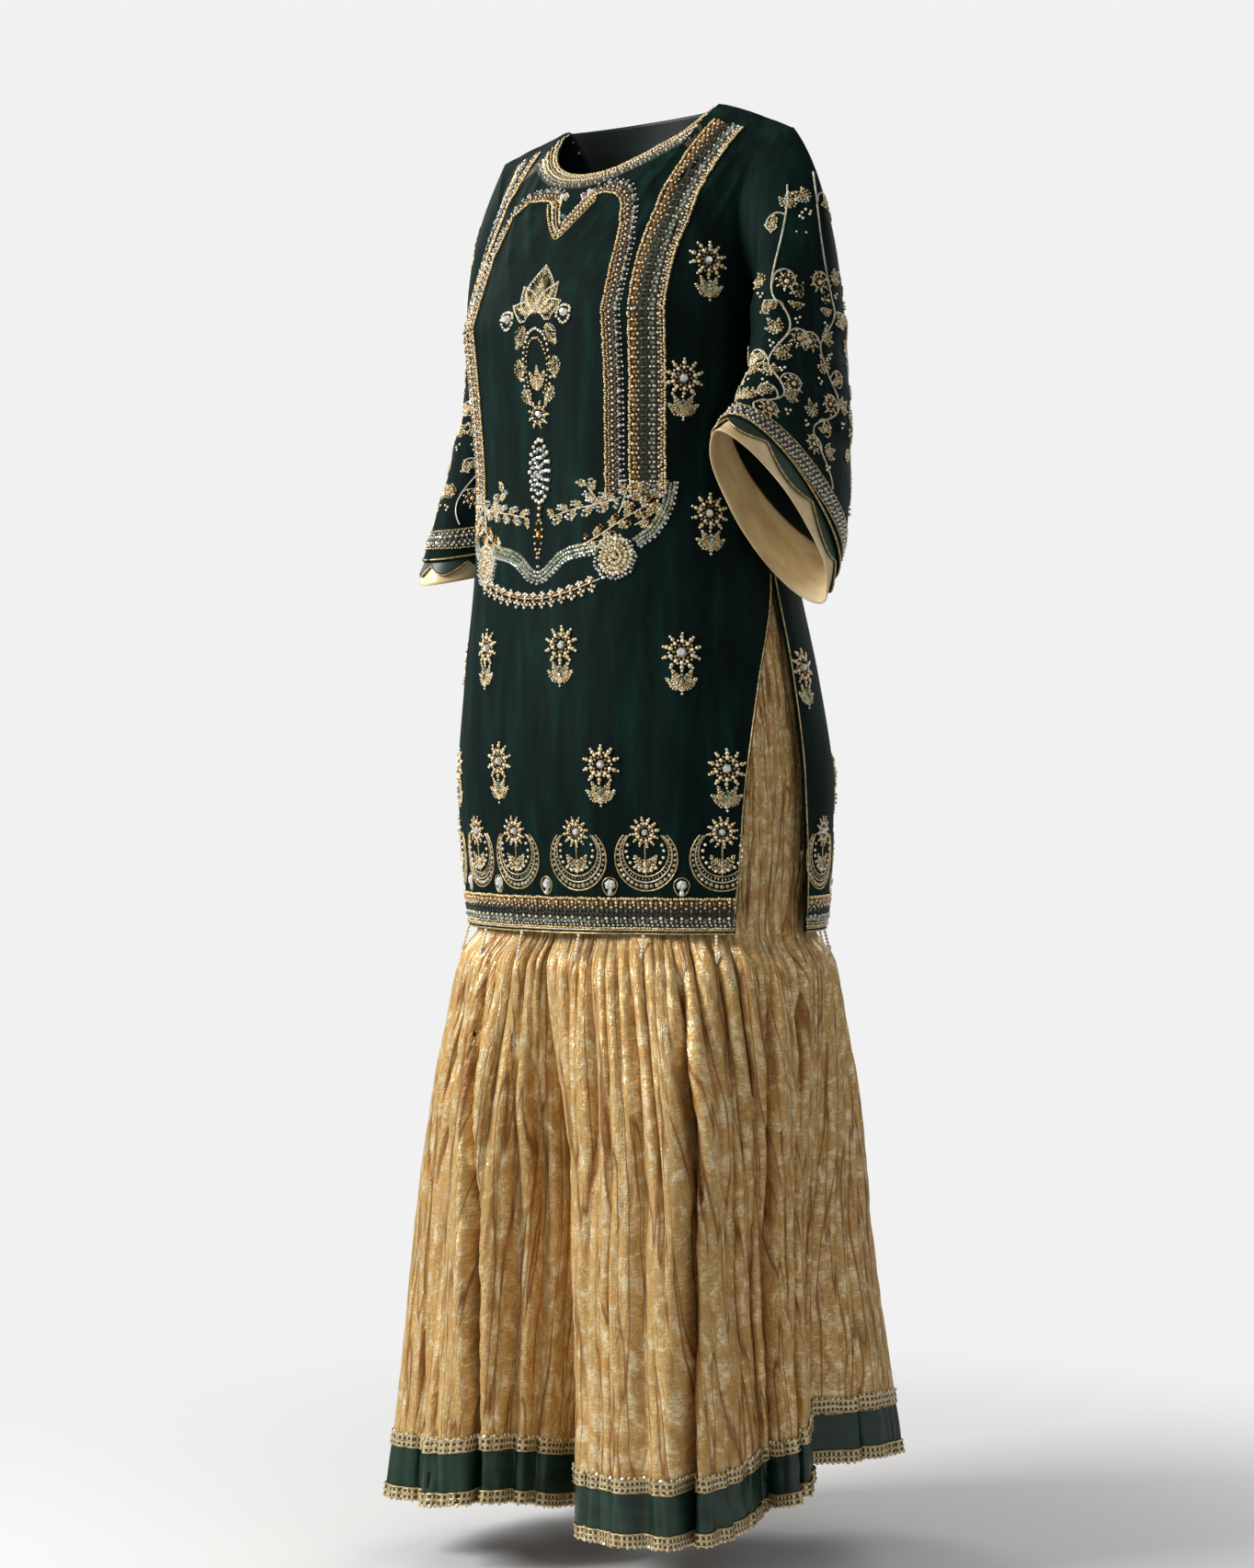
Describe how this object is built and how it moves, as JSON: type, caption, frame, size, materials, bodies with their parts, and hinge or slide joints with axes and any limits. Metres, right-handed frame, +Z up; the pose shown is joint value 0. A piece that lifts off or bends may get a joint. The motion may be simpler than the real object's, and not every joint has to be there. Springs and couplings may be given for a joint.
{
  "type": "salwar suit of velvet kameez and sharara",
  "caption": "Hollow worn suit: embroidered velvet kameez with side slits and bell sleeves over a wide crinkled gold sharara with satin and lace hem.",
  "frame": {"origin": "middle of the shoulder line, level with the neck ends of the shoulder seams, where the wearer holds it", "axes": "+Z up, -Y the way the wearer faces, +X the wearer's left"},
  "size_m": [0.5375, 0.4376, 1.3888],
  "materials": {
    "velvet": "cotton velvet, soft nap",
    "tissue": "crinkled metallic tissue",
    "green_satin": "satin",
    "beige_satin": "satin",
    "gota": "metallic lace",
    "beadwork": "bead and metal thread embroidery",
    "waist_cotton": "plain weave"
  },
  "bodies": {
    "root": {"kameez_front": "velvet", "kameez_back": "velvet", "sleeve_left": "velvet", "sleeve_right": "velvet", "facing_left": "beige_satin", "facing_right": "beige_satin", "scallops_left": "green_satin", "scallops_right": "green_satin", "cuff_band_left": "beadwork", "cuff_band_right": "beadwork", "neck_band": "beadwork", "strip_left": "beadwork", "strip_right": "beadwork", "bib_left": "beadwork", "bib_right": "beadwork", "bib_top": "beadwork", "medallion": "beadwork", "hem_band_front": "beadwork", "hem_band_back": "beadwork", "leg_left": "tissue", "leg_right": "tissue", "waistband": "waist_cotton", "satin_left": "green_satin", "satin_right": "green_satin", "gota_upper_left": "gota", "gota_upper_right": "gota", "gota_lower_left": "gota", "gota_lower_right": "gota"}
  },
  "joints": []
}
